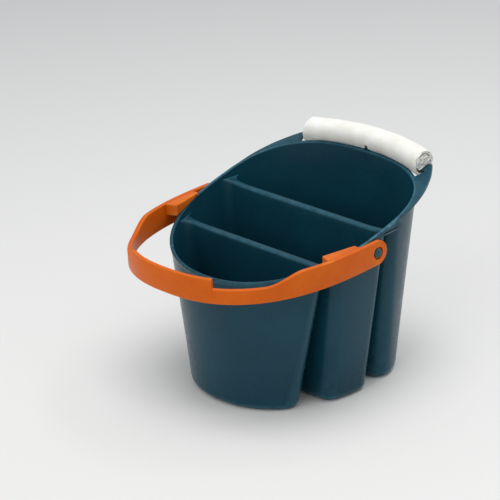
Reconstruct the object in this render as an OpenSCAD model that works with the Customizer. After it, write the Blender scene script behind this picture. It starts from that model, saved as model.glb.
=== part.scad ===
// Brush washer: a moulded tub of three separate cups under one sloping rim,
// a swinging carrying handle on two side pegs, and a cloth wound on the rear bar.
// Millimetres. X is the width, +Y the rear with the cloth bar, Z is up.
// The handle is drawn lowered, lying forward on its stops.

/* [Tub plan at the rim] */
// Widest distance between the inner faces of the side walls
inner_w = 140; // [120:1:160]
// How far the rounded front reaches forward of its centre, inside
front_d = 81.3; // [70:0.1:95]
// Fullness of the front curve, 2 is an ellipse
front_n = 2.18; // [1.8:0.01:3]
// How far the rounded rear reaches back of its centre, inside
rear_d = 60.7; // [50:0.1:75]
// Fullness of the rear curve, 2 is an ellipse
rear_n = 2.6; // [1.8:0.01:3.5]
// Place of the front curve's centre, before the object is centred
front_y = 18.9; // [5:0.1:30]
// Place of the rear curve's centre, before the object is centred
rear_y = 25.6; // [15:0.1:40]
// Middle of the divider between the front and the middle cup
div_front_y = -15.8; // [-25:0.1:-5]
// Middle of the divider between the middle and the rear cup
div_rear_y = 30; // [20:0.1:40]
// Radius of the cups' outer corners at the table, seen from above
corner_r = 9.9; // [5:0.1:14]
// Radius of the same corners at the rim
corner_top_r = 7.4; // [5:0.1:14]

/* [Tub height and walls] */
// Height of the rim's top face above the table at the rear divider
rim_z = 115; // [95:1:135]
// Slope of the rim, rising toward the rear
rim_slope = 15; // [0:0.5:20]
// Wall thickness of the cups
wall_t = 1.8; // [1.2:0.1:3]
// Floor thickness of the cups
floor_t = 2.2; // [1.2:0.1:4]
// Inward draft of the side walls from rim to table
side_draft = 12.6; // [4:0.1:18]
// Inward draft of the front wall from rim to table
front_draft = 8.3; // [3:0.1:16]
// Inward draft of the rear wall from rim to table
rear_draft = 10.5; // [4:0.1:18]
// Outside gap between neighbouring cups at the rim
gap_top = 1.4; // [0.8:0.1:4]
// Outside gap between neighbouring cups at the table
gap_base = 8.9; // [4:0.1:14]
// Radius of the edge round the underside of each cup
foot_r = 5; // [2:0.5:8]

/* [Rim and dividers] */
// How far the rim stands out past the inner edge at front and sides
rim_w = 2.2; // [2:0.1:6]
// Thickness of the rim plate
rim_t = 2.6; // [1.5:0.1:5]
// Drop of a divider's level top below the sloping rim, at its middle
divider_drop = 6; // [2:0.5:12]
// How far the walls under a divider's top are joined
divider_t = 4; // [2.7:0.1:6]

/* [Cloth bar and ears] */
// Radius of the curved bar, to its middle line
bar_r = 155; // [130:1:190]
// Width of the bar
bar_w = 6; // [4:0.1:9]
// Distance up the slope from the rear divider to the bar's middle
bar_v = 68.6; // [60:0.1:80]
// Width of the strip left between the rear cup and the slots
strip_w = 2.4; // [1.5:0.1:5]
// Half angle of the slots, from the middle to an ear
slot_a = 20.4; // [15:0.1:24]
// Width of the strut that holds the bar in the middle
strut_w = 4; // [2:0.1:8]

/* [Pegs] */
// Place of the pegs, before the object is centred
hinge_y = 14; // [0:0.5:30]
// Height of the pegs above the table
hinge_z = 101.4; // [85:0.1:115]
// Diameter of a peg
peg_d = 5.9; // [4:0.1:9]
// Outer ends of the pegs, from the middle plane
peg_x = 75.8; // [73:0.1:82]
// Diameter of the round boss behind a peg
boss_d = 11; // [8:0.5:16]

/* [Handle] */
// Half width over the outer faces of the arms
handle_x = 75.6; // [73:0.1:84]
// Reach from the peg line to the front of the band
handle_l = 111.9; // [95:0.1:130]
// Length of the straight part of the arms
arm_l = 10.8; // [0:0.1:30]
// Fullness of the band's front curve, 2 is an ellipse
handle_n = 2.47; // [2:0.01:3.5]
// Height of the band
band_h = 16.2; // [12:0.1:22]
// Thickness of the band
band_t = 3; // [2:0.1:5]
// Slope of the lowered handle, dropping toward the front
handle_slope = 1.8; // [0:0.1:6]
// Diameter of the holes that turn on the pegs
hole_d = 6; // [4.1:0.1:9.2]
// Diameter of the recess round each hole on the outer face
recess_d = 8.4; // [7:0.1:12]
// Depth of that recess
recess_t = 1.4; // [0.5:0.1:2]
// Half width of the raised part in the middle of the band
crest_x = 35; // [20:0.5:50]
// Depth of the two brush notches
notch_h = 6.5; // [3:0.1:10]
// Where the floor of a notch starts to rise, back from the peg line
notch_l = 84; // [70:0.5:95]
// Where the notch ends at the full height of the band
notch_end_l = 60; // [50:0.5:75]
// Near end of the stop blocks, ahead of the peg line
stop_l0 = 14; // [10:0.5:25]
// Far end of the stop blocks, ahead of the peg line
stop_l1 = 38; // [30:0.5:50]
// Inner edge of a stop block at its near end, from the middle plane
stop_x0 = 68.3; // [60:0.1:72]
// Inner edge of a stop block at its far end, from the middle plane
stop_x1 = 63.5; // [55:0.1:72]

/* [Cloth] */
// Radius of the wound cloth
cloth_r = 9; // [5:0.1:11]
// Height of the cloth's middle above the rim's top face
cloth_h = 2.6; // [0:0.1:8]
// Left end of the cloth, from the middle plane
cloth_x0 = -48.2; // [-49:0.1:-30]
// Right end of the cloth, from the middle plane
cloth_x1 = 48.7; // [30:0.1:49]
// Thickness of one turn of the cloth
cloth_t = 0.8; // [0.4:0.1:2]
// Half width of the nick that clears the strut
nick_x = 2.8; // [2:0.1:5]

/* [Hidden] */
// clearance between bodies that touch in the real object
gap = 0.3;
// thickness of the thin plates that a skin is drawn between
skin = 0.02;
cut = 1;
steps = 14;
band_steps = 36;
half_w = inner_w / 2;
cup_lo = [front_y - front_d - 40, div_front_y, div_rear_y];
cup_hi = [div_front_y, div_rear_y, rear_y + rear_d + 40];
slope_k = 1 / cos(rim_slope);
bar_c = bar_v - bar_r;
// the hinge seen from the rim's own frame: along the slope and below its face
hinge_drop = (hinge_y - div_rear_y) * sin(rim_slope) - (hinge_z - rim_z) * cos(rim_slope);
// the whole object is centred between the handle's front and the cloth's back
front_end = hinge_y - handle_l * cos(handle_slope) - band_h / 2 * sin(handle_slope);
rear_end = div_rear_y + bar_v * cos(rim_slope) - cloth_h * sin(rim_slope) + cloth_r;
centre_y = (front_end + rear_end) / 2;
// outline of an ear on the right, from the side wall to its tip
ear = [[71.3, 42], [70, 54], [66.6, 67], [62, 77.5], [57.2, 86], [50.9, 94.4]];
// where the bar's outer edge meets the ear's tip, as an angle on the bar
ear_a = 18.1;
// how far the cloth is wound along the bar before its ends are cut square, as an angle
cloth_a = 21;

function front_pts(a, d, n, yc) =
    [for (i = [0 : steps]) let (t = 90 * i / steps)
        [a * pow(sin(t), 2 / n), yc - d * pow(cos(t), 2 / n)]];

function rear_pts(a, d, n, yc) =
    [for (i = [1 : steps]) let (t = 90 * i / steps)
        [a * pow(cos(t), 2 / n), yc + d * pow(sin(t), 2 / n)]];

function both(half) =
    concat(half, [for (i = [len(half) - 1 : -1 : 0]) [-half[i][0], half[i][1]]]);

// plan of the whole tub, grown by g and drawn in toward the table by s
function plan_half(g, s) =
    concat(
        front_pts(half_w + g - side_draft * s, front_d + g - front_draft * s, front_n, front_y),
        rear_pts(half_w + g - side_draft * s, rear_d + g - rear_draft * s, rear_n, rear_y));

// right half of the rim: past the side it widens into the ear and the bar
function rim_half() =
    concat(
        front_pts(half_w + rim_w, front_d + rim_w, front_n, front_y),
        [[half_w + rim_w, rear_y]],
        ear,
        [for (i = [8 : -1 : 0]) bar_pt(bar_r + bar_w / 2, ear_a * i / 8)]);

// a point on an arc about the bar's centre, given back as plan coordinates
function bar_pt(r, a) = [r * sin(a), div_rear_y + (bar_c + r * cos(a)) / slope_k];

module centred() {
    translate([0, -centre_y, 0]) children();
}

// the rim's own frame: its top face at z = 0, the rear divider at y = 0
module on_rim() {
    translate([0, div_rear_y, rim_z]) rotate([rim_slope, 0, 0]) children();
}

// lays a plan outline on the sloping face
module on_slope() {
    scale([1, slope_k]) translate([0, -div_rear_y]) children();
}

// one cup's outline: g grows it past the inner edge, s is 0 at the rim and 1 at the table
module cup_outline(i, g, s) {
    side = (gap_top * (1 - s) + gap_base * s) / 2 + wall_t - g;
    r = corner_top_r * (1 - s) + corner_r * s - wall_t + g;
    y0 = cup_lo[i] + side;
    y1 = cup_hi[i] - side;
    offset(r = r) offset(delta = -r) intersection() {
        polygon(both(plan_half(g, s)));
        translate([-half_w * 2, y0]) square([half_w * 4, y1 - y0]);
    }
}

// the solid inside an outline, from the rounded foot at z0 up to h above the rim
module cup_body(i, g, z0, r, h) {
    hull() {
        for (t = [0, 35, 65, 90])
            translate([0, 0, z0 + r * (1 - cos(t))])
                linear_extrude(skin) cup_outline(i, g - r * (1 - sin(t)), 1);
        on_rim() translate([0, 0, h - skin]) linear_extrude(skin) on_slope() cup_outline(i, g, 0);
    }
}

module rim_plate() {
    on_rim() translate([0, 0, -rim_t]) linear_extrude(rim_t) on_slope() polygon(both(rim_half()));
}

// closes the gaps between the cups just under the rim, down to the divider tops
module collar() {
    depth = divider_drop + divider_t;
    hull() on_rim() {
        translate([0, 0, -skin]) linear_extrude(skin) on_slope() polygon(both(plan_half(wall_t, 0)));
        translate([0, 0, -depth]) linear_extrude(skin)
            on_slope() polygon(both(plan_half(wall_t, depth / rim_z)));
    }
}

// the shallow pocket over a divider, so that its level top stays below the rim
module pocket(y) {
    translate([0, 0, rim_z + (y - div_rear_y) * tan(rim_slope) - divider_drop * slope_k])
        linear_extrude(3 * divider_drop) intersection() {
            polygon(both(plan_half(-0.5, 0)));
            translate([-half_w, y - corner_r]) square([inner_w, 2 * corner_r]);
        }
}

// the two slots beside the strut, between the rear strip and the bar
module slots() {
    on_rim() translate([0, 0, -rim_t - cut]) linear_extrude(rim_t + 2 * cut) difference() {
        intersection() {
            translate([0, bar_c]) circle(r = bar_r - bar_w / 2, $fn = 180);
            translate([0, bar_c]) polygon([[0, 0], [300 * sin(-slot_a), 300 * cos(slot_a)],
                [300 * sin(slot_a), 300 * cos(slot_a)]]);
        }
        on_slope() polygon(both(plan_half(strip_w, 0)));
        translate([-strut_w / 2, 0]) square([strut_w, bar_v]);
    }
}

module tub() {
    color([0.10, 0.28, 0.35]) centred() {
        difference() {
            union() {
                for (i = [0 : 2]) cup_body(i, wall_t, 0, foot_r, 0);
                rim_plate();
                collar();
            }
            for (i = [0 : 2]) cup_body(i, 0, floor_t, foot_r - wall_t, cut);
            pocket(div_front_y);
            pocket(div_rear_y);
            slots();
        }
        for (m = [0, 1]) mirror([m, 0, 0]) translate([0, hinge_y, hinge_z]) rotate([0, 90, 0]) {
            translate([0, 0, half_w]) cylinder(d = boss_d, h = handle_x - band_t - gap - half_w, $fn = 48);
            translate([0, 0, half_w]) cylinder(d = peg_d, h = peg_x - half_w, $fn = 48);
        }
    }
}

// right half of the band's outline, from the peg line to the front
function band_half(x, l) =
    concat([[x, 0]],
        [for (i = [band_steps : -1 : 0]) let (t = 90 * i / band_steps)
            [x * pow(sin(t), 2 / handle_n), -arm_l - (l - arm_l) * pow(cos(t), 2 / handle_n)]]);

module band_plan() {
    difference() {
        polygon(both(band_half(handle_x, handle_l)));
        polygon(both(concat([[handle_x - band_t, cut]], band_half(handle_x - band_t, handle_l - band_t))));
    }
}

// a brush notch: a step beside the raised middle, a level floor, a slow rise along the arm
module notch() {
    top = band_h / 2;
    rotate([90, 0, 90]) translate([0, 0, crest_x]) linear_extrude(handle_x)
        polygon([[-handle_l - cut, top + cut], [-handle_l - cut, top - notch_h],
            [-notch_l, top - notch_h], [-notch_end_l, top], [-notch_end_l, top + cut]]);
}

// a stop block: flush with the band's top, its underside resting on the rim
module stop_block() {
    difference() {
        translate([0, 0, -band_h / 2]) linear_extrude(band_h)
            polygon([[handle_x - band_t / 2, -stop_l0], [stop_x0, -stop_l0], [stop_x1, -stop_l1],
                [handle_x - band_t - 1.2, -stop_l1 - 3]]);
        rotate([rim_slope - handle_slope, 0, 0]) translate([0, -stop_l1 * 2, hinge_drop + gap - band_h * 2])
            cube([handle_x - band_t, stop_l1 * 3, band_h * 2]);
    }
}

module handle() {
    color([0.84, 0.42, 0.12]) centred() translate([0, hinge_y, hinge_z]) rotate([handle_slope, 0, 0])
        difference() {
            union() {
                translate([0, 0, -band_h / 2]) linear_extrude(band_h) band_plan();
                for (m = [0, 1]) mirror([m, 0, 0]) {
                    translate([handle_x - band_t, 0, 0]) rotate([0, 90, 0])
                        cylinder(d = band_h, h = band_t, $fn = 64);
                    stop_block();
                }
            }
            for (m = [0, 1]) mirror([m, 0, 0]) {
                notch();
                translate([handle_x - band_t - cut, 0, 0]) rotate([0, 90, 0])
                    cylinder(d = hole_d, h = band_t + 2 * cut, $fn = 48);
                translate([handle_x - recess_t, 0, 0]) rotate([0, 90, 0])
                    cylinder(d = recess_d, h = recess_t + cut, $fn = 48);
            }
        }
}

// turns of cloth round the bar between two upright planes, with a free edge at the back
module wound(r, x0, x1, clear) {
    on_rim() intersection() {
        translate([0, bar_c, 0]) rotate([0, 0, 90 - cloth_a]) rotate_extrude(angle = 2 * cloth_a, $fn = 160)
            difference() {
                translate([bar_r, cloth_h]) polygon([for (i = [0 : 23])
                    let (a = 15 * i - 60, e = r - cloth_t * (1 - i / 23)) [e * cos(a), e * sin(a)]]);
                translate([bar_r - bar_w / 2 - clear, -rim_t - clear])
                    square([bar_w + 2 * clear, rim_t + 2 * clear]);
            }
        translate([x0, 0, -bar_v]) cube([x1 - x0, 2 * bar_v, 2 * bar_v]);
    }
}

// it lies on the strip behind the rear cup, and a nick lets the strut through
module cloth() {
    color([0.94, 0.94, 0.91]) centred() difference() {
        union() {
            wound(cloth_r, cloth_x0 + cut, cloth_x1 - cut, gap);
            wound(cloth_r - 1.5 * cloth_t, cloth_x0, cloth_x1, gap + 0.1);
        }
        on_rim() translate([-nick_x, bar_v - bar_w / 2 - gap - cloth_r, -rim_t - cloth_r])
            cube([2 * nick_x, cloth_r, cloth_r + rim_t + gap]);
        on_rim() translate([0, 0, -rim_t - cloth_r]) linear_extrude(rim_t + cloth_r + gap)
            on_slope() polygon(both(plan_half(strip_w + gap, 0)));
    }
}

tub();
handle();
cloth();
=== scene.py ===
import math

import bmesh
import bpy
from mathutils import Matrix, Vector, noise


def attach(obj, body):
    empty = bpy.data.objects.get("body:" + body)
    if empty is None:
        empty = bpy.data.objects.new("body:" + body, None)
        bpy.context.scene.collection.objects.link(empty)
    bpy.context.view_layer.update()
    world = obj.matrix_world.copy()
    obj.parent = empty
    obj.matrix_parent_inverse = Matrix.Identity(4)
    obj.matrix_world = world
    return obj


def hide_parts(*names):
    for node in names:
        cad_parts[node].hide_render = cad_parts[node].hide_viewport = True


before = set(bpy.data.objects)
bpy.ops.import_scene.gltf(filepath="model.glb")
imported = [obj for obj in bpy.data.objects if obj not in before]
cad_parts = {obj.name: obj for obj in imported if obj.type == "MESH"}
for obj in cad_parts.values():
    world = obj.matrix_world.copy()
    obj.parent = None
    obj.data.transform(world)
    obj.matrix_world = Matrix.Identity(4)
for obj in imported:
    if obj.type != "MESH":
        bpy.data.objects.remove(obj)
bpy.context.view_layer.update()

# Sizes in millimetres, as in the drawing: X is the width, Y runs back, Z stands on the table
MM = 0.001
CENTRE_Y = 3.2452            # from the drawing's own middle to the middle of the whole object
HALF_W = 70.0                # inside the side walls, at the rim
FRONT_Y, FRONT_D, FRONT_N = 18.9, 81.3, 2.18   # front curve of the plan: middle, depth, fullness
REAR_Y, REAR_D, REAR_N = 25.6, 60.7, 2.6       # and the rear one
DIVIDERS = (-15.8, 30.0)     # their middle lines
RIM_Z = 115.0                # over the rear divider
SLOPE = math.radians(15)
WALL = 1.8
CORNER_R, CORNER_TOP_R = 9.9, 7.4   # outside, where a cup's side turns into its divider
FOOT_R = 5.0                 # round between wall and floor, outside
SIDE_DRAFT, FRONT_DRAFT, REAR_DRAFT = 12.6, 8.3, 10.5   # the walls lean in, from rim to table
GAP_TOP, GAP_BASE = 1.4, 8.9        # between the outsides of two cups
DIVIDER_DROP = 6.0           # a divider's level top stops this far below the sloping rim
DIVIDER_RISE, RISE_L = 1.6, 16.0    # its ends sweep up toward the side walls
MOUTH_R = 1.9                # soft edge of a divider's top
BLEND_FROM, BLEND_TO = CORNER_TOP_R + 1, CORNER_R + 3   # where a mouth's edge leaves the level
BEAD = 0.2                   # the inner lip stands this far above the rim plate
LIP_SOFT = 0.8
RIM_W, RIM_T, RIM_SOFT = 2.2, 2.6, 0.55
BAR_R, BAR_W, BAR_V = 155.0, 6.0, 68.6   # the bar's bend and width, and its place up the slope
BAR_C = BAR_V - BAR_R
STRIP_W = 2.4                # of the rim between the rear cup and the slots
SLOT_A, STRUT_W = 20.4, 4.0  # bearing of a slot's end in degrees, and the strut between the slots
EAR = [(71.3, 42), (70, 54), (66.6, 67), (62, 77.5), (57.2, 86), (50.9, 94.4)]
EAR_A = 18.1                 # bearing in degrees where the ear turns into the bar
HINGE_Y, HINGE_Z = 14.0, 101.4
PEG_D, PEG_X, PEG_SOFT = 5.9, 75.8, 0.45
BOSS_D, BOSS_SOFT, BOSS_GAP = 11.0, 0.3, 0.3
BAND_X, BAND_L, ARM_L, BAND_N = 75.6, 111.9, 10.8, 2.47   # half width, reach, straight end, fullness
BAND_H, BAND_T, BAND_SOFT = 16.2, 3.0, 0.7
BAND_SLOPE = math.radians(1.8)
HOLE_D, RECESS_D, RECESS_T = 6.0, 8.4, 1.4
CREST_X, CREST_SOFT = 35.0, 0.7     # half width of the raised middle, and the round at its step
NOTCH_H, NOTCH_L, NOTCH_END = 6.5, 84.0, 60.0   # depth, and where the floor starts and ends to rise
STOP = [(74.1, -14), (68.3, -14), (63.5, -38), (71.4, -41)]
STOP_GAP, STOP_SINK, STOP_SOFT = 0.3, 0.02, 0.6
CLOTH_H, CLOTH_X = 2.6, (-48.2, 48.7)   # the roll's middle over the rim plate, and its two ends
NICK_X = 2.8                 # half width of the nick that clears the strut

# Steps of the outlines
PLAN_STEPS, SIDE_STEPS = 220, 8
CORNER_STEPS, EDGE_STEPS = 10, 8
WALL_STEPS = (38, 12, 30)    # along the walls of the front, middle and rear cup
END_STEPS = 6
SOFT_FROM, SOFT_OVER = 0.15, 0.7    # shares of a corner over which its soft edge sets in
FRONT_STEPS, INNER_STEPS, BAR_STEPS, SLOT_STEPS = 60, 90, 30, 24   # of the rim plate's outlines
FLOOR_TURNS = (0, 25, 50, 70)       # degrees round the foot
WALL_SHARES = (0.75, 0.5, 0.25, 0.12)
MOUTH_TURNS = (0, 22, 45, 68, 90)   # degrees round the soft edge


def place(x, y, z):
    """A point of the drawing, in the frame, in metres."""
    return Vector((x, y - CENTRE_Y, z)) * MM


def on_rim(x, v, h):
    """v runs back along the sloping rim from the rear divider, h stands square on it."""
    y = DIVIDERS[1] + v * math.cos(SLOPE) - h * math.sin(SLOPE)
    return place(x, y, RIM_Z + v * math.sin(SLOPE) + h * math.cos(SLOPE))


def rim_v(y):
    """How far up the slope a place of the plan lies."""
    return (y - DIVIDERS[1]) / math.cos(SLOPE)


def rim_height(y):
    return RIM_Z + (y - DIVIDERS[1]) * math.tan(SLOPE)


def eased(t):
    """A slow start and a slow stop between 0 and 1."""
    t = min(1.0, max(0.0, t))
    return t * t * (3 - 2 * t)


# Editing by hand
def deselect():
    if bpy.context.object and bpy.context.object.mode != "OBJECT":
        bpy.ops.object.mode_set(mode="OBJECT")
    bpy.ops.object.select_all(action="DESELECT")


def pick(*objects):
    deselect()
    for o in objects:
        o.select_set(True)
    bpy.context.view_layer.objects.active = objects[0]


def into_edit(obj):
    pick(obj)
    bpy.ops.object.mode_set(mode="EDIT")
    bpy.ops.mesh.select_all(action="DESELECT")
    return bmesh.from_edit_mesh(obj.data)


def out_of_edit():
    bpy.ops.object.mode_set(mode="OBJECT")


def named(name):
    """The primitive just added, under its own name and with its place in its mesh."""
    obj = bpy.context.object
    obj.name = obj.data.name = name
    bpy.ops.object.transform_apply(location=True, rotation=True, scale=True)
    return obj


def key(p):
    """A point rounded to a thousandth of a millimetre, to find it again."""
    return tuple(round(c * 1e6) for c in p)


def select_edges(bm, wanted):
    bpy.ops.mesh.select_all(action="DESELECT")
    for e in bm.edges:
        if wanted(e):
            e.select = True
    bm.select_flush(True)


def pull(obj, old, new):
    """Extrudes the selected edges and moves each point of the old line to its new place."""
    bpy.ops.mesh.extrude_region_move()
    bm = bmesh.from_edit_mesh(obj.data)
    target = {key(a): b for a, b in zip(old, new)}
    for v in bm.verts:
        if v.select:
            v.co = target[key(v.co)]
    bmesh.update_edit_mesh(obj.data)


def add_modifier(obj, kind, **settings):
    m = obj.modifiers.new(kind.title(), kind)
    for k, v in settings.items():
        setattr(m, k, v)
    pick(obj)
    bpy.ops.object.modifier_apply(modifier=m.name)


def smooth(obj, degrees=35):
    pick(obj)
    bpy.ops.object.shade_smooth_by_angle(angle=math.radians(degrees))


def give_wall(obj, wall, longest=1.45):
    """Gives a skin its wall on the far side, and draws in the points that shoot out of sharp ends
    further than longest times the wall."""
    inside = [v.co.copy() for v in obj.data.vertices]
    add_modifier(obj, "SOLIDIFY", thickness=wall * MM, offset=-1, use_even_offset=True)
    reach = wall * MM * longest
    for a, v in zip(inside, obj.data.vertices[len(inside):]):
        if (v.co - a).length > reach:
            v.co = a + (v.co - a).normalized() * reach
    obj.data.update()


def face_outward(obj):
    into_edit(obj)
    bpy.ops.mesh.select_all(action="SELECT")
    bpy.ops.mesh.remove_doubles(threshold=1e-6)
    bpy.ops.mesh.normals_make_consistent(inside=False)
    out_of_edit()


# Outlines of the moulding
def arc(n, power):
    """Points of a quarter of the rounded outline, as shares of its two half axes."""
    turns = [math.pi / 2 * i / n for i in range(n + 1)]
    return [(max(math.sin(t), 0) ** (2 / power), max(math.cos(t), 0) ** (2 / power)) for t in turns]


def plan_half(grow, sink):
    """Right half of the tub's plan; sink is 0 at the rim and 1 at the table."""
    a = HALF_W + grow - SIDE_DRAFT * sink
    df = FRONT_D + grow - FRONT_DRAFT * sink
    dr = REAR_D + grow - REAR_DRAFT * sink
    front = [(a * s, FRONT_Y - df * c) for s, c in arc(PLAN_STEPS, FRONT_N)]
    side = [(a, FRONT_Y + (REAR_Y - FRONT_Y) * i / SIDE_STEPS) for i in range(1, SIDE_STEPS)]
    rear = [(a * c, REAR_Y + dr * s) for s, c in arc(PLAN_STEPS, REAR_N)]
    return front + side + rear


RIM_PLAN = [(y, x) for x, y in plan_half(0, 0)]   # half width at the rim by place along Y


def resample(points, n):
    """n + 1 points along a line, evenly spaced."""
    run = [0.0]
    for a, b in zip(points, points[1:]):
        run.append(run[-1] + math.dist(a, b))
    out, k = [], 0
    for i in range(n + 1):
        want = run[-1] * i / n
        while k < len(points) - 2 and run[k + 1] < want:
            k += 1
        share = (want - run[k]) / max(run[k + 1] - run[k], 1e-9)
        share = min(max(share, 0), 1)
        out.append(tuple(p + (q - p) * share for p, q in zip(points[k], points[k + 1])))
    return out


def rounded_corner(wall, edge_y, r, below):
    """Where a circle of radius r touches both the side wall and a divider's straight line."""
    cy = edge_y - r if below else edge_y + r
    near, far = 0.0, max(x for x, _ in wall)
    for _ in range(40):
        cx = (near + far) / 2
        if min(math.dist((cx, cy), p) for p in wall) > r:
            near = cx
        else:
            far = cx
    touch = min(range(len(wall)), key=lambda k: math.dist((cx, cy), wall[k]))
    return cx, cy, touch


def cup_half(i, grow, sink):
    """Right half of a cup's outline from front to rear, each point with its share of soft edge,
    and the numbers of the wall points that its corners touch."""
    wall = plan_half(grow, sink)
    side = (GAP_TOP * (1 - sink) + GAP_BASE * sink) / 2 + WALL - grow
    r = CORNER_TOP_R * (1 - sink) + CORNER_R * sink - WALL + grow
    start, stop, line, touches = 0, len(wall) - 1, [], {}
    if i > 0:
        y0 = DIVIDERS[i - 1] + side
        cx, cy, start = rounded_corner(wall, y0, r, False)
        touches["front"] = start
        line += [(cx * k / EDGE_STEPS, y0, 1.0) for k in range(EDGE_STEPS)]
        a1 = math.atan2(wall[start][1] - cy, wall[start][0] - cx)
        for k in range(CORNER_STEPS):
            a = -math.pi / 2 + (a1 + math.pi / 2) * k / CORNER_STEPS
            line.append((cx + r * math.cos(a), cy + r * math.sin(a), soft_share(1 - k / CORNER_STEPS)))
    tail = []
    if i < len(DIVIDERS):
        y1 = DIVIDERS[i] - side
        cx, cy, stop = rounded_corner(wall, y1, r, True)
        touches["rear"] = stop
        a0 = math.atan2(wall[stop][1] - cy, wall[stop][0] - cx)
        for k in range(1, CORNER_STEPS + 1):
            a = a0 + (math.pi / 2 - a0) * k / CORNER_STEPS
            tail.append((cx + r * math.cos(a), cy + r * math.sin(a), soft_share(k / CORNER_STEPS)))
        tail += [(cx * (1 - k / EDGE_STEPS), y1, 1.0) for k in range(1, EDGE_STEPS + 1)]
    line += [(x, y, 0.0) for x, y in resample(wall[start:stop + 1], WALL_STEPS[i])]
    return line + tail, touches


def soft_share(t):
    """0 where the divider's edge runs out on the side wall, 1 along the divider."""
    return eased((t - SOFT_FROM) / SOFT_OVER)


def mirrored(half):
    """The whole outline from its right half, whose first and last points lie on the middle line."""
    return half + [(-p[0],) + tuple(p[1:]) for p in reversed(half[1:-1])]


def outward(points):
    """Unit directions square to a closed outline, away from its inside."""
    n, out = len(points), []
    for k in range(n):
        (x0, y0), (x1, y1) = points[k - 1][:2], points[(k + 1) % n][:2]
        d = math.hypot(x1 - x0, y1 - y0)
        out.append(((y1 - y0) / d, -(x1 - x0) / d))
    return out


def on_column(top, base, z):
    """The point at height z on the straight line down a wall, from the rim to the foot's round."""
    top_z = rim_height(top[1])
    share = (top_z - z) / (top_z - FOOT_R)
    return Vector((top[0] + (base[0] - top[0]) * share, top[1] + (base[1] - top[1]) * share, z))


def column(top, base, h):
    """The point on that line at height h, measured square to the rim."""
    top_p = Vector((top[0], top[1], rim_height(top[1])))
    base_p = Vector((base[0], base[1], FOOT_R))
    low = (base_p.z - rim_height(base[1])) * math.cos(SLOPE)
    return top_p + (base_p - top_p) * (h / low)


# The tub
def cup_rings(i):
    """A cup's inside as rings from the middle of its floor up to the top of its dividers."""
    base = mirrored(cup_half(i, 0, 1)[0])
    top = mirrored(cup_half(i, 0, 0)[0])
    r = FOOT_R - WALL
    rings = []
    for t in FLOOR_TURNS:
        t = math.radians(t)
        ring = mirrored(cup_half(i, -r * (1 - math.sin(t)), 1)[0])
        rings.append([place(p[0], p[1], WALL + r * (1 - math.cos(t))) for p in ring])
    rings.append([place(b[0], b[1], FOOT_R) for b in base])
    for share in WALL_SHARES:
        rings.append([place(*column(t, b, (FOOT_R - rim_height(t[1])) * math.cos(SLOPE) * share))
                      for t, b in zip(top, base)])
    away = outward(top)
    for t in MOUTH_TURNS:
        t = math.radians(t)
        ring = []
        for p, b, n in zip(top, base, away):
            q = on_column(p, b, mouth_height(p) - MOUTH_R * (1 - math.sin(t)))
            out = MOUTH_R * (1 - math.cos(t)) * p[2]
            ring.append(place(q.x + n[0] * out, q.y + n[1] * out, q.z))
        rings.append(ring)
    return rings


def mouth_height(p):
    """Height of a cup's upper edge: level along a divider, parallel to the rim along the walls."""
    drop = DIVIDER_DROP / math.cos(SLOPE)
    low = rim_height(p[1]) - drop
    near = [d for d in DIVIDERS if abs(p[1] - d) < BLEND_TO]
    if not near:
        return low
    sweep = min(1.0, max(0.0, 1 - (between(RIM_PLAN, p[1]) - abs(p[0])) / RISE_L))
    level = rim_height(near[0]) - drop + DIVIDER_RISE * sweep ** 2
    share = eased((abs(p[1] - near[0]) - BLEND_FROM) / (BLEND_TO - BLEND_FROM))
    return level * (1 - share) + low * share


def divider_end(k):
    """Points on the side wall between two cups, as top and base of straight columns."""
    lines = []
    for sink in (0, 1):
        wall = plan_half(0, sink)
        start = cup_half(k, 0, sink)[1]["rear"]
        stop = cup_half(k + 1, 0, sink)[1]["front"]
        lines.append(resample(wall[start:stop + 1], END_STEPS))
    return list(zip(*lines))[1:-1]


def add_cup(shell, rings, first):
    """Draws a cup's inside up from a disc on its floor, ring by ring."""
    bm = into_edit(shell)
    if first:
        bpy.ops.mesh.select_all(action="SELECT")
    else:
        bpy.ops.mesh.primitive_circle_add(vertices=len(rings[0]), radius=MM, fill_type="NGON")
        bm = bmesh.from_edit_mesh(shell.data)
    disc = [f for f in bm.faces if f.select][0]
    for loop, p in zip(disc.loops, rings[0]):
        loop.vert.co = p
    bmesh.update_edit_mesh(shell.data)
    bpy.ops.mesh.region_to_loop()
    for below, above in zip(rings, rings[1:]):
        pull(shell, below, above)
    out_of_edit()


def join_cups(shell, k, mouths, columns):
    """Bridges a divider's top from cup to cup and fills its two ends on the side walls."""
    a, b = mouths[k], mouths[k + 1]
    soft_steps = CORNER_STEPS + EDGE_STEPS
    touch = len(cup_half(k, 0, 0)[0]) - 1 - soft_steps
    line_a = a[touch:len(a) - touch + 1]
    line_b = [b[-j] for j in range(-soft_steps, soft_steps + 1)]
    bm = into_edit(shell)
    at = {key(v.co): v for v in bm.verts}
    chains = []
    for sign, p, q in ((1, line_a[0], line_b[0]), (-1, line_a[-1], line_b[-1])):
        chain = [at[key(p)]]
        for t, base in divider_end(k):
            t, base = (sign * t[0], t[1]), (sign * base[0], base[1])
            chain.append(bm.verts.new(place(*on_column(t, base, mouth_height(t)))))
            columns[key(chain[-1].co)] = t, base
        chain.append(at[key(q)])
        for v, w in zip(chain, chain[1:]):
            bm.edges.new((v, w))
        chains.append({key(v.co) for v in chain})
    bmesh.update_edit_mesh(shell.data)

    lines = [{key(p) for p in line} for line in (line_a, line_b)]
    select_edges(bm, lambda e: any(all(key(v.co) in line for v in e.verts) for line in lines))
    bpy.ops.mesh.bridge_edge_loops()
    for chain in chains:
        bm = bmesh.from_edit_mesh(shell.data)
        select_edges(bm, lambda e: all(key(v.co) in chain for v in e.verts))
        bpy.ops.mesh.edge_face_add()
    out_of_edit()


def selected_points(obj):
    return [v.co.copy() for v in bmesh.from_edit_mesh(obj.data).verts if v.select]


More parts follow.
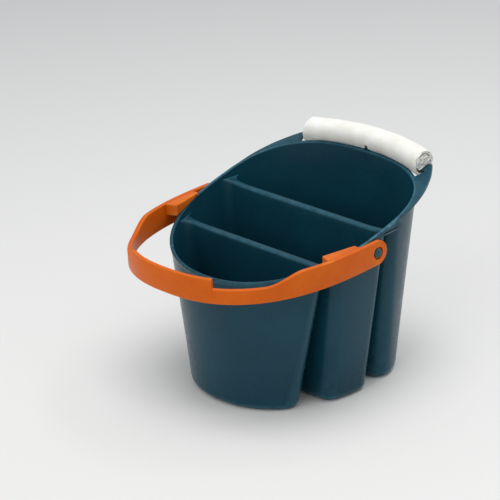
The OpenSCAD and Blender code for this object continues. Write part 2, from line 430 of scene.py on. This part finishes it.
def draw_up_lip(shell, columns):
    """Pulls the open edge all round up to the rim."""
    into_edit(shell)
    bpy.ops.mesh.select_mode(type="EDGE")
    bpy.ops.mesh.select_non_manifold(extend=False, use_wire=False, use_boundary=True,
                                     use_multi_face=False, use_non_contiguous=False, use_verts=False)
    line = selected_points(shell)
    for h in (-RIM_T / 2, BEAD):
        new = [place(*column(*columns[key(p)], h)) for p in line]
        for p, q in zip(line, new):
            columns[key(q)] = columns[key(p)]
        pull(shell, line, new)
        line = selected_points(shell)
    bpy.ops.mesh.select_mode(type="VERT")
    bpy.ops.mesh.select_all(action="SELECT")
    bpy.ops.mesh.normals_make_consistent(inside=False)
    bm = bmesh.from_edit_mesh(shell.data)
    floor = min(bm.faces, key=lambda f: f.calc_center_median().z)
    if floor.normal.z < 0:
        bpy.ops.mesh.flip_normals()
    out_of_edit()


def round_lip(shell):
    """Rounds the two edges of the lip's flat top."""
    bm = into_edit(shell)
    bpy.ops.mesh.select_mode(type="EDGE")

    def on_lip(e, sharp=1.0):
        return (all(rim_face_height(v.co) > BEAD * 0.6 for v in e.verts)
                and len(e.link_faces) == 2 and e.calc_face_angle(0) > sharp)

    select_edges(bm, on_lip)
    bpy.ops.mesh.bevel(offset=LIP_SOFT * MM, segments=4, affect="EDGES")
    bpy.ops.mesh.select_mode(type="VERT")
    out_of_edit()


def tub_shell():
    """One skin with the same wall all over: three cups, the dividers between them and the lip."""
    bpy.ops.mesh.primitive_circle_add(vertices=len(cup_rings(0)[0]), radius=MM, fill_type="NGON")
    shell = named("tub_shell")
    mouths, columns = [], {}
    for i in range(len(WALL_STEPS)):
        rings = cup_rings(i)
        add_cup(shell, rings, i == 0)
        mouths.append(rings[-1])
        tops, bases = (mirrored(cup_half(i, 0, sink)[0]) for sink in (0, 1))
        for t, b, m in zip(tops, bases, mouths[i]):
            columns[key(m)] = t, b
    for k in range(len(DIVIDERS)):
        join_cups(shell, k, mouths, columns)
    draw_up_lip(shell, columns)
    give_wall(shell, WALL)
    round_lip(shell)
    smooth(shell, 40)
    return shell


def rim_face_height(p):
    """How far a point stands above the rim's face, in millimetres."""
    y, z = p.y / MM + CENTRE_Y - DIVIDERS[1], p.z / MM - RIM_Z
    return z * math.cos(SLOPE) - y * math.sin(SLOPE)


def bar_point(r, degrees):
    """A point of the rim plate at a distance from the middle of the bar's bend, and a bearing."""
    a = math.radians(degrees)
    return r * math.sin(a), BAR_C + r * math.cos(a)


def spline_through(points, n=6):
    """A smooth line through a few points."""
    out = []
    ext = [points[0]] + points + [points[-1]]
    for p0, p1, p2, p3 in zip(ext, ext[1:], ext[2:], ext[3:]):
        for i in range(n):
            t = i / n
            out.append(tuple(
                0.5 * (2 * b + (c - a) * t + (2 * a - 5 * b + 4 * c - d) * t * t
                       + (3 * b - a - 3 * c + d) * t ** 3)
                for a, b, c, d in zip(p0, p1, p2, p3)))
    return out + [points[-1]]


def rim_plate():
    """The flat rim with its two ears, the bar behind them and the slots beside the strut."""
    wide, deep = HALF_W + RIM_W, FRONT_D + RIM_W
    front = [(wide * s, rim_v(FRONT_Y - deep * c)) for s, c in arc(FRONT_STEPS, FRONT_N)]
    side = (wide, rim_v(REAR_Y))
    ear = spline_through([side] + [(x, rim_v(y)) for x, y in EAR])[1:-1]
    back = [bar_point(BAR_R + BAR_W / 2, EAR_A * (1 - i / BAR_STEPS)) for i in range(BAR_STEPS + 1)]
    outer = mirrored(front + [side] + ear + back)
    inner = mirrored([(x, rim_v(y)) for x, y in resample(plan_half(WALL / 2, 0), INNER_STEPS)])

    strip = [(x, rim_v(y)) for x, y in plan_half(STRIP_W, 0) if y > REAR_Y]

    def bearing(p):
        return math.degrees(math.atan2(p[0], p[1] - BAR_C))

    bar_inside = BAR_R - BAR_W / 2
    strut_a = math.degrees(math.asin(STRUT_W / 2 / bar_inside))
    near = [p for p in strip if p[0] > STRUT_W / 2 and bearing(p) < SLOT_A]
    turn = (SLOT_A - strut_a) / SLOT_STEPS
    far = [bar_point(bar_inside, strut_a + turn * i) for i in range(SLOT_STEPS + 1)]
    slot = far + near
    outlines = [outer, inner, slot, [(-x, v) for x, v in slot]]

    data = bpy.data.curves.new("rim_plate", "CURVE")
    data.dimensions, data.fill_mode = "2D", "BOTH"
    data.extrude = (RIM_T / 2 - RIM_SOFT) * MM
    data.bevel_depth, data.bevel_resolution = RIM_SOFT * MM, 3
    data.offset = -RIM_SOFT * MM
    for points in outlines:
        s = data.splines.new("POLY")
        s.points.add(len(points) - 1)
        for q, (x, v) in zip(s.points, points):
            q.co = (x * MM, v * MM, 0, 1)
        s.use_cyclic_u = True
    obj = bpy.data.objects.new("rim_plate", data)
    bpy.context.scene.collection.objects.link(obj)
    pick(obj)
    bpy.ops.object.convert(target="MESH")
    obj = bpy.context.object
    obj.matrix_world = (Matrix.Translation(on_rim(0, 0, 0)) @ Matrix.Rotation(SLOPE, 4, "X")
                        @ Matrix.Translation((0, 0, -RIM_T / 2 * MM)))
    bpy.ops.object.transform_apply(location=True, rotation=True, scale=True)
    face_outward(obj)
    smooth(obj)
    return obj


def shaped_block(name, corners, soft):
    """A cube whose eight corners are moved to their places and whose edges are then rounded."""
    bpy.ops.mesh.primitive_cube_add(size=2)
    obj = named(name)
    bm = into_edit(obj)
    for v in bm.verts:
        v.co = corners[tuple(c > 0 for c in v.co)]
    bmesh.update_edit_mesh(obj.data)
    out_of_edit()
    face_outward(obj)
    add_modifier(obj, "BEVEL", width=soft * MM, segments=3, limit_method="ANGLE")
    smooth(obj)
    return obj


def across(sign, d, x0, x1):
    """Settings of a cylinder on the hinge line, from x0 out to x1 on one side."""
    return dict(vertices=64, radius=d / 2 * MM, depth=(x1 - x0) * MM,
                location=place(sign * (x0 + x1) / 2, HINGE_Y, HINGE_Z), rotation=(0, math.pi / 2, 0))


def hinge_pin(sign):
    """A boss on the side wall, and the round peg on it that the handle turns on."""
    side = "right" if sign > 0 else "left"
    parts = []
    for name, d, x1, soft in (("boss", BOSS_D, BAND_X - BAND_T - BOSS_GAP, BOSS_SOFT),
                              ("peg", PEG_D, PEG_X, PEG_SOFT)):
        bpy.ops.mesh.primitive_cylinder_add(**across(sign, d, HALF_W, x1))
        obj = named(f"hinge_{name}_{side}")
        add_modifier(obj, "BEVEL", width=soft * MM, segments=3, limit_method="ANGLE")
        smooth(obj)
        parts.append(obj)
    return parts


# The handle
def on_band(x, y, z):
    """From the handle's own frame, with its hinge line at zero, into the tub's."""
    c, s = math.cos(BAND_SLOPE), math.sin(BAND_SLOPE)
    return place(x, HINGE_Y + y * c - z * s, HINGE_Z + y * s + z * c)


def band_section(inner, outer, low, high):
    """A rounded upright rectangle between an inner and an outer point of the plan."""
    soft = min(BAND_SOFT, (high - low) / 2 * 0.95, BAND_T / 2 * 0.9)
    ring = []
    for n, z, a0 in ((1, low, -90), (1, high, 0), (0, high, 90), (0, low, 180)):
        cn = n - (1 if n else -1) * soft / BAND_T
        cz = z + (soft if z == low else -soft)
        for j in range(5):
            a = math.radians(a0 + 90 * j / 4)
            u, w = cn + soft / BAND_T * math.cos(a), cz + soft * math.sin(a)
            ring.append(on_band(inner[0] + (outer[0] - inner[0]) * u,
                                inner[1] + (outer[1] - inner[1]) * u, w))
    return ring


def band_top(x, y):
    """Height of the band's upper edge: the raised crest, the step beside it, the slow rise."""
    top, floor = BAND_H / 2, BAND_H / 2 - NOTCH_H
    into = min(1.0, abs(abs(x) - CREST_X) / CREST_SOFT)
    rounded = CREST_SOFT * (1 - math.sqrt(max(0.0, 1 - (1 - into) ** 2)))
    if abs(x) <= CREST_X:
        return top - rounded
    if y > -NOTCH_L:
        return floor + NOTCH_H * eased((y + NOTCH_L) / (NOTCH_L - NOTCH_END))
    return floor + rounded


def band_columns():
    """Inner point, outer point, low and high of each section, right half from the front."""
    step = (0.02, 0.1, 0.25, 0.45, 0.7, 0.9)   # sections crowd at the crest's step

    def at(t):
        s, c = max(math.sin(t), 0) ** (2 / BAND_N), max(math.cos(t), 0) ** (2 / BAND_N)
        run = BAND_L - ARM_L
        return ((BAND_X - BAND_T) * s, -ARM_L - (run - BAND_T) * c), (BAND_X * s, -ARM_L - run * c)

    turns = [math.pi / 2 * i / 64 for i in range(65)]
    for gap in step:
        turns += [math.asin(((CREST_X + g) / BAND_X) ** (BAND_N / 2)) for g in (-gap, gap)]
    cols = []
    for t in sorted(turns):
        inner, outer = at(t)
        cols.append((inner, outer, -BAND_H / 2, band_top(*outer)))
    for y in (-7.0, -3.5, 0.0):
        cols.append(((BAND_X - BAND_T, y), (BAND_X, y), -BAND_H / 2, BAND_H / 2))
    for a in (10, 20, 30, 40, 50, 58, 66, 73, 79, 84, 88):   # the round end
        y, half = BAND_H / 2 * math.sin(math.radians(a)), BAND_H / 2 * math.cos(math.radians(a))
        cols.append(((BAND_X - BAND_T, y), (BAND_X, y), -half, half))
    return cols


def handle_band():
    """The bent band, pulled section by section from one round end to the other."""
    right = band_columns()
    left = [((-i[0], i[1]), (-o[0], o[1]), lo, hi) for i, o, lo, hi in reversed(right[1:])]
    sections = [band_section(*c) for c in left + right]
    bpy.ops.mesh.primitive_circle_add(vertices=len(sections[0]), radius=MM, fill_type="NGON")
    band = named("handle_band")
    bm = into_edit(band)
    bpy.ops.mesh.select_all(action="SELECT")
    for loop, p in zip(bm.faces[:][0].loops, sections[0]):
        loop.vert.co = p
    bmesh.update_edit_mesh(band.data)
    bpy.ops.mesh.region_to_loop()
    for a, b in zip(sections, sections[1:]):
        pull(band, a, b)
    bpy.ops.mesh.edge_face_add()
    out_of_edit()
    face_outward(band)
    return band


def stop_block(sign):
    """The wedge inside each arm that comes to rest on the rim."""
    tilt = SLOPE - BAND_SLOPE
    drop = (HINGE_Y - DIVIDERS[1]) * math.sin(SLOPE) - (HINGE_Z - RIM_Z) * math.cos(SLOPE)

    def under(y):
        return (drop + STOP_GAP + y * math.sin(tilt)) / math.cos(tilt)

    outer_back, inner_back, inner_front, outer_front = STOP
    where = {(True, True): outer_back, (False, True): inner_back,
             (False, False): inner_front, (True, False): outer_front}
    corners = {}
    for (far, back), (x, y) in where.items():
        for up in (False, True):
            z = BAND_H / 2 - STOP_SINK if up else under(y)
            corners[(far, back, up)] = on_band(sign * x, y, z)
    return shaped_block("stop_" + ("right" if sign > 0 else "left"), corners, STOP_SOFT)


def cut(obj, tool, operation):
    add_modifier(obj, "BOOLEAN", object=tool, operation=operation, solver="EXACT")
    bpy.data.objects.remove(tool)


def build_handle():
    """The band with its two stop blocks, drilled for the pegs and recessed round their heads."""
    band = handle_band()
    inside, past = BAND_X - BAND_T, 1.0
    for sign in (1, -1):
        cut(band, stop_block(sign), "UNION")
        for d, x0 in ((HOLE_D, inside - past), (RECESS_D, BAND_X - RECESS_T)):
            bpy.ops.mesh.primitive_cylinder_add(**across(sign, d, x0, BAND_X + past))
            cut(band, named("drill"), "DIFFERENCE")
    smooth(band, 32)
    return band


# The cloth
CLOTH_T = 0.4                # thickness of the cotton
LAYER = 0.5                  # from one turn to the next
FOLD = 0.78                  # from one fold of the inner pad to the next
INNER_R = 6.95               # of the innermost turn
TURNS = 4
CLEAR = 0.3                  # between the cotton and the plastic
THREAD = 0.7                 # from thread to thread as drawn


def strip_edge():
    """Where the strip behind the rear cup ends, as distance from the bar's middle by bearing."""
    edge = []
    for x, y in plan_half(STRIP_W, 0):
        if y > REAR_Y:
            v = rim_v(y) - BAR_C
            edge.append((math.atan2(x, v), math.hypot(x, v) - BAR_R))
    return sorted(edge)


def between(points, at):
    """The value at a place, between sorted pairs of place and value."""
    for (a0, v0), (a1, v1) in zip(points, points[1:]):
        if a0 <= at <= a1:
            return v0 + (v1 - v0) * (at - a0) / (a1 - a0)
    return points[0][1] if at < points[0][0] else points[-1][1]


def off_strip(u, h, edge, room):
    """Keeps a turn of cloth clear of the strip: lifted off it, or held behind its edge."""
    top = h + CLOTH_H
    if u < edge and -RIM_T < top < 0:
        if edge - u < -top:
            return edge + room, h
        return u, room - CLOTH_H
    near_u, near_top = min(u, edge), min(max(top, -RIM_T), 0)
    away = math.hypot(u - near_u, top - near_top)
    if 0 < away < room:
        u = near_u + (u - near_u) * room / away
        top = near_top + (top - near_top) * room / away
    return u, top - CLOTH_H


def cloth_path():
    """The strip's section: folded to and fro above the bar, then wound round the lot.
    Each point carries the number of turns wound before it."""
    path = []
    play, head, bend = 0.1, 0.9, 0.55    # room round the pad, over its last fold, and for a bend
    short, widen = 4.9, 0.9              # the low folds stay short, clear of the strip
    top = INNER_R - LAYER - play
    h, side = -CLOTH_H + CLEAR + CLOTH_T / 2 + play, 1
    while h < top - head:
        reach = math.sqrt(top ** 2 - max(abs(h), abs(h + FOLD)) ** 2) - bend
        reach = min(reach, short + widen * max(0.0, h + CLOTH_H - 1))
        for k in range(9):
            path.append((side * reach * (-1 + 2 * k / 8), h, 0))
        if h + FOLD < top - head:
            for a in (-50, 0, 50):
                u = reach + FOLD / 2 * math.cos(math.radians(a))
                path.append((side * u, h + FOLD / 2 + FOLD / 2 * math.sin(math.radians(a)), 0))
        h, side = h + FOLD, -side

    # in degrees: where the winding leaves the pad, its sense, and how far past the last full turn
    start, turn, last = (60, -1, 215) if path[-1][0] > 0 else (120, 1, 150)
    wound = 0
    while wound < TURNS * 360 + last:
        rise = min(1.0, wound / 60)
        r = (top - play) * (1 - rise) + INNER_R * rise
        a = math.radians(start + turn * wound)
        # the first turn sags a little on top
        slack = max(0.0, 1 - wound / 360) * 0.6 * rise * (math.sin(a) > 0)
        r += (max(0.0, wound / 360 - 1) - slack) * LAYER
        path.append((r * math.cos(a), r * math.sin(a), wound / 360))
        wound += 9
    return path


def cloth_places():
    """Places of the strip's columns along X: even on both sides, with three over the nick."""
    nick, count = NICK_X - 0.2, 34
    left = [CLOTH_X[0] + (-nick - CLOTH_X[0]) * i / count for i in range(count + 1)]
    right = [nick + (CLOTH_X[1] - nick) * i / count for i in range(count + 1)]
    return left + [-nick / 2, 0.0, nick / 2] + right


def cut_nick(cloth, wide_below=0.8, narrow=1.4, top=3.2):
    """Opens the nick that lets the strut through to the bar."""
    bm = into_edit(cloth)
    bpy.ops.mesh.select_mode(type="FACE")
    for f in bm.faces:
        c = f.calc_center_median()
        h = rim_face_height(c)
        v = (c.y / MM + CENTRE_Y - DIVIDERS[1]) * math.cos(SLOPE) + (c.z / MM - RIM_Z) * math.sin(SLOPE)
        half = NICK_X - 0.2 if h < wide_below else narrow
        f.select = abs(c.x / MM) < half and v < BAR_V - BAR_W / 2 and h < top
    bpy.ops.mesh.delete(type="FACE")
    bpy.ops.mesh.select_mode(type="VERT")
    out_of_edit()


def cotton_cloth():
    """One strip of cotton, folded and wound round the bar; also its flat width and length."""
    path, places = cloth_path(), cloth_places()
    run = [0.0]
    for a, b in zip(path, path[1:]):
        run.append(run[-1] + math.dist(a[:2], b[:2]))
    edge = strip_edge()
    outermost = max(math.hypot(u, h) for u, h, _ in path)
    cols, rows = len(places), len(path)

    bpy.ops.mesh.primitive_grid_add(x_subdivisions=cols - 1, y_subdivisions=rows - 1, size=1)
    cloth = named("cotton_cloth")
    data = cloth.data
    flat = {}
    for j, (u, h, turns) in enumerate(path):
        # the layers end unevenly, more so inside
        stagger = 0.35 * math.sin(j * 0.9) + 0.45 * math.sin(j * 0.23)
        stagger += 0.5 if turns < 1 else -0.12 * turns
        deep = outermost - math.hypot(u, h)
        for i, x in enumerate(places):
            end = abs(x / CLOTH_X[1]) ** 9    # 0 along the roll, 1 at its ends
            at = x + math.copysign(end * stagger, x)
            ripple = (0.16 * noise.noise(Vector((at / 9, j / 4.5, 3.1)))
                      + 0.22 * noise.noise(Vector((at / 21, j / 9, 8.2))))
            sag = 0.10 * end * math.sin(j * 1.7)
            k = 1 + (ripple * min(1, turns) + sag) / max(math.hypot(u, h), 1)
            uu, hh = u * k, h * k
            angle = math.asin(at / (BAR_R + uu))
            if turns > 0:
                uu, hh = off_strip(uu, hh, between(edge, abs(angle)), CLEAR + CLOTH_T / 2 + deep)
            r = BAR_R + uu
            p = on_rim(r * math.sin(angle), BAR_C + r * math.cos(angle), CLOTH_H + hh)
            data.vertices[j * cols + i].co = p
            flat[j * cols + i] = (angle * BAR_R, run[j])
    layer = data.uv_layers.active
    for loop in data.loops:
        layer.data[loop.index].uv = flat[loop.vertex_index]
    data.update()

    cut_nick(cloth)
    add_modifier(cloth, "SOLIDIFY", thickness=CLOTH_T * MM, offset=0, use_even_offset=False)
    smooth(cloth, 60)
    width = BAR_R * sum(math.asin(abs(x) / BAR_R) for x in CLOTH_X)
    return cloth, width * MM, run[-1] * MM


# Materials
def rgb(code):
    """A written sRGB colour as the linear one that a shader takes."""
    parts = [int(code[i:i + 2], 16) / 255 for i in (1, 3, 5)]
    return tuple(c / 12.92 if c <= 0.04045 else ((c + 0.055) / 1.055) ** 2.4 for c in parts) + (1.0,)


def add(tree, kind, inputs=(), output=0, **settings):
    """Adds a node: settings are its own choices, inputs are links or fixed values.
    Gives back one of its outputs."""
    n = tree.nodes.new("ShaderNode" + kind)
    for k, v in settings.items():
        setattr(n, k, v)
    for slot, value in dict(inputs).items():
        if isinstance(value, bpy.types.NodeSocket):
            tree.links.new(value, n.inputs[slot])
        else:
            n.inputs[slot].default_value = value
    return n.outputs[output] if len(n.outputs) else n


def new_material(name):
    m = bpy.data.materials.new(name)
    m.use_nodes = True
    m.node_tree.nodes.clear()
    return m, m.node_tree


def per_mm(size):
    """A noise's scale for features of that size in millimetres, on coordinates in metres."""
    return 1000.0 / size


def moulded_plastic(name, body, deep, highlight_colour, rough, gloss):
    """Injection-moulded polypropylene. A fine even satin from the mould; colour that drifts a little with
    the flow of the melt; edges and corners painted paler in patches, a painted highlight."""
    m, t = new_material(name)
    at = add(t, "TexCoord", output="Object")
    flow = add(t, "TexNoise", {"Vector": at, "Scale": per_mm(45), "Detail": 3.0, "Roughness": 0.55}, "Fac")
    mottle = add(t, "TexNoise", {"Vector": at, "Scale": per_mm(6), "Detail": 4.0, "Roughness": 0.6}, "Fac")
    # the mould's texture is about 0.1 mm; drawn at 0.6 mm so that it shows
    grain = add(t, "TexNoise", {"Vector": at, "Scale": per_mm(0.6), "Detail": 2.0}, "Fac")

    drift = add(t, "MapRange", {"Value": flow, "From Min": 0.35, "From Max": 0.68})
    colour = add(t, "Mix", {"Factor": drift, 6: rgb(body), 7: rgb(deep)}, 2, data_type="RGBA")
    # painted highlight: pointy edges and corners, in patches, are mixed toward the pale highlight colour
    corners = add(t, "MapRange", {"Value": add(t, "NewGeometry", output="Pointiness"),
                                  "From Min": 0.512, "From Max": 0.58})
    patches = add(t, "MapRange", {"Value": mottle, "From Min": 0.22, "From Max": 0.62})
    painted_highlight = add(t, "Math", {0: corners, 1: patches}, operation="MULTIPLY")
    painted_highlight = add(t, "Math", {0: painted_highlight, 1: 0.6}, operation="MULTIPLY")
    colour = add(t, "Mix", {"Factor": painted_highlight, 6: colour, 7: rgb(highlight_colour)}, 2, data_type="RGBA")
    uneven = add(t, "MapRange", {"Value": mottle, "From Min": 0.3, "From Max": 0.7,
                                 "To Min": rough - 0.05, "To Max": rough + 0.06})
    bump = add(t, "Bump", {"Strength": 0.05, "Distance": 0.0002, "Height": grain})
    shader = add(t, "BsdfPrincipled", {"Base Color": colour, "Roughness": uneven, "IOR": 1.49,
                                       "Specular IOR Level": gloss, "Normal": bump})
    add(t, "OutputMaterial", {"Surface": shader})
    return m


def woven_cotton():
    """Bleached plain-weave cotton: dull, faintly warm in soft clouds at random, threads crossing with
    painted shade in the dips of the weave, a soft nap.
    The threads are 0.35 mm apart; drawn at 0.7 mm so that they show. The strip's own map counts
    millimetres along the bar and along the wound length."""
    m, t = new_material("bleached_woven_cotton")
    uv = add(t, "UVMap")
    waves = []
    for axis in ("X", "Y"):
        way = add(t, "SeparateXYZ", {"Vector": uv}, axis)
        phase = add(t, "Math", {0: way, 1: 2 * math.pi / THREAD}, operation="MULTIPLY")
        waves.append(add(t, "Math", {0: phase}, operation="SINE"))
    weave = add(t, "Math", {0: waves[0], 1: waves[1]}, operation="MULTIPLY")
    slub = add(t, "TexNoise", {"Vector": uv, "Scale": 0.9, "Detail": 4.0}, "Fac")
    cloud = add(t, "TexNoise", {"Vector": uv, "Scale": 0.09, "Detail": 3.0}, "Fac")

    warm = add(t, "MapRange", {"Value": cloud, "From Min": 0.35, "From Max": 0.7})
    colour = add(t, "Mix", {"Factor": warm, 6: rgb("#f4f4f1"), 7: rgb("#e9e7de")}, 2, data_type="RGBA")
    # painted shade: the dips of the weave are mixed toward a darker grey
    low = add(t, "MapRange", {"Value": weave, "From Min": -1.0, "From Max": 0.2})
    low = add(t, "Math", {0: low, 1: -0.12, 2: 0.12}, operation="MULTIPLY_ADD")
    colour = add(t, "Mix", {"Factor": low, 6: colour, 7: rgb("#cfccc0")}, 2, data_type="RGBA")
    height = add(t, "Math", {0: weave, 1: 0.35, 2: slub}, operation="MULTIPLY_ADD")
    bump = add(t, "Bump", {"Strength": 0.35, "Distance": 0.00025, "Height": height})
    shader = add(t, "BsdfPrincipled", {"Base Color": colour, "Roughness": 0.92, "Sheen Weight": 0.15,
                                       "Sheen Roughness": 0.5, "Normal": bump})
    add(t, "OutputMaterial", {"Surface": shader})
    return m


def paint(obj, material):
    obj.data.materials.clear()
    obj.data.materials.append(material)


# Camera, floor and light
def camera():
    """Looks down over the right front of the tub, from far off with a long lens."""
    cam = bpy.data.cameras.new("camera")
    cam.lens, cam.sensor_width = 164.35, 36
    cam.clip_start, cam.clip_end = 0.1, 20
    eye = bpy.data.objects.new("camera", cam)
    eye.location = (0.9343, -0.96734, 0.6491)
    eye.rotation_euler = [math.radians(a) for a in (67.290, 1.2033, 44.2706)]
    bpy.context.scene.collection.objects.link(eye)
    bpy.context.scene.camera = eye


def paper_floor():
    """A wide sheet of matt paper, painted darker toward the back: painted shade for the light falling off
    there.
    """
    bpy.ops.mesh.primitive_plane_add(size=8, location=(0, 1.5, -0.0002))
    floor = named("floor")
    m, t = new_material("matt_paper")
    at = add(t, "TexCoord", output="Object")
    across_x, back_y = (add(t, "SeparateXYZ", {"Vector": at}, axis) for axis in ("X", "Y"))
    depth = add(t, "Math", {0: back_y, 1: across_x}, operation="SUBTRACT")
    # painted shade: the paper's colour darkens toward the back, where the light falls off
    far = add(t, "MapRange", {"Value": depth, "From Min": 0.0, "From Max": 1.3})
    colour = add(t, "Mix", {"Factor": far, 6: rgb("#e6e6e4"), 7: rgb("#d2d2d2")}, 2, data_type="RGBA")
    shader = add(t, "BsdfPrincipled", {"Base Color": colour, "Roughness": 0.9, "Specular IOR Level": 0.1})
    add(t, "OutputMaterial", {"Surface": shader})
    paint(floor, m)


def lamp(name, where, target, size, power):
    """A square soft light that faces a target."""
    data = bpy.data.lights.new(name, "AREA")
    data.shape, data.size, data.energy = "SQUARE", size, power
    o = bpy.data.objects.new(name, data)
    o.location = where
    o.rotation_euler = (Vector(target) - Vector(where)).to_track_quat("-Z", "Y").to_euler()
    bpy.context.scene.collection.objects.link(o)


def room_light():
    """Even light from all round; the camera itself sees a plain grey."""
    world = bpy.data.worlds.new("studio")
    bpy.context.scene.world = world
    world.use_nodes = True
    t = world.node_tree
    t.nodes.clear()
    seen = add(t, "Background", {"Color": rgb("#dcdcdc"), "Strength": 1.0})
    light = add(t, "Background", {"Color": rgb("#f4f6f8"), "Strength": 0.60})
    both = add(t, "MixShader", {0: add(t, "LightPath", output="Is Camera Ray"), 1: light, 2: seen})
    add(t, "OutputWorld", {"Surface": both})


def studio():
    camera()
    paper_floor()
    lamp("overhead_softbox", (0.15, 0.20, 1.45), (0, 0, 0), 0.95, 12)
    lamp("front_softbox", (0.2, -1.7, 1.15), (0, 0, 0.05), 1.4, 8)
    room_light()


def belongs(piece, material, body, node):
    """Paints a piece, attaches it to the body it moves with, and hides the CAD part that it stands in for.
    """
    paint(piece, material)
    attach(piece, body)
    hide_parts(node)


def build():
    # the third colour of each plastic is its painted highlight on edges and corners
    teal = moulded_plastic("teal_polypropylene", "#124251", "#103a49", "#60a4ba", 0.28, 0.20)
    orange = moulded_plastic("orange_polypropylene", "#d55e06", "#c95504", "#f2a040", 0.34, 0.14)
    cotton = woven_cotton()

    for piece in [tub_shell(), rim_plate()] + hinge_pin(1) + hinge_pin(-1):
        belongs(piece, teal, "tub", "tub")
    belongs(build_handle(), orange, "handle", "handle")
    cloth, width, length = cotton_cloth()
    belongs(cloth, cotton, "tub", "cloth")


studio()
build()
bpy.context.scene.view_settings.view_transform = "Standard"
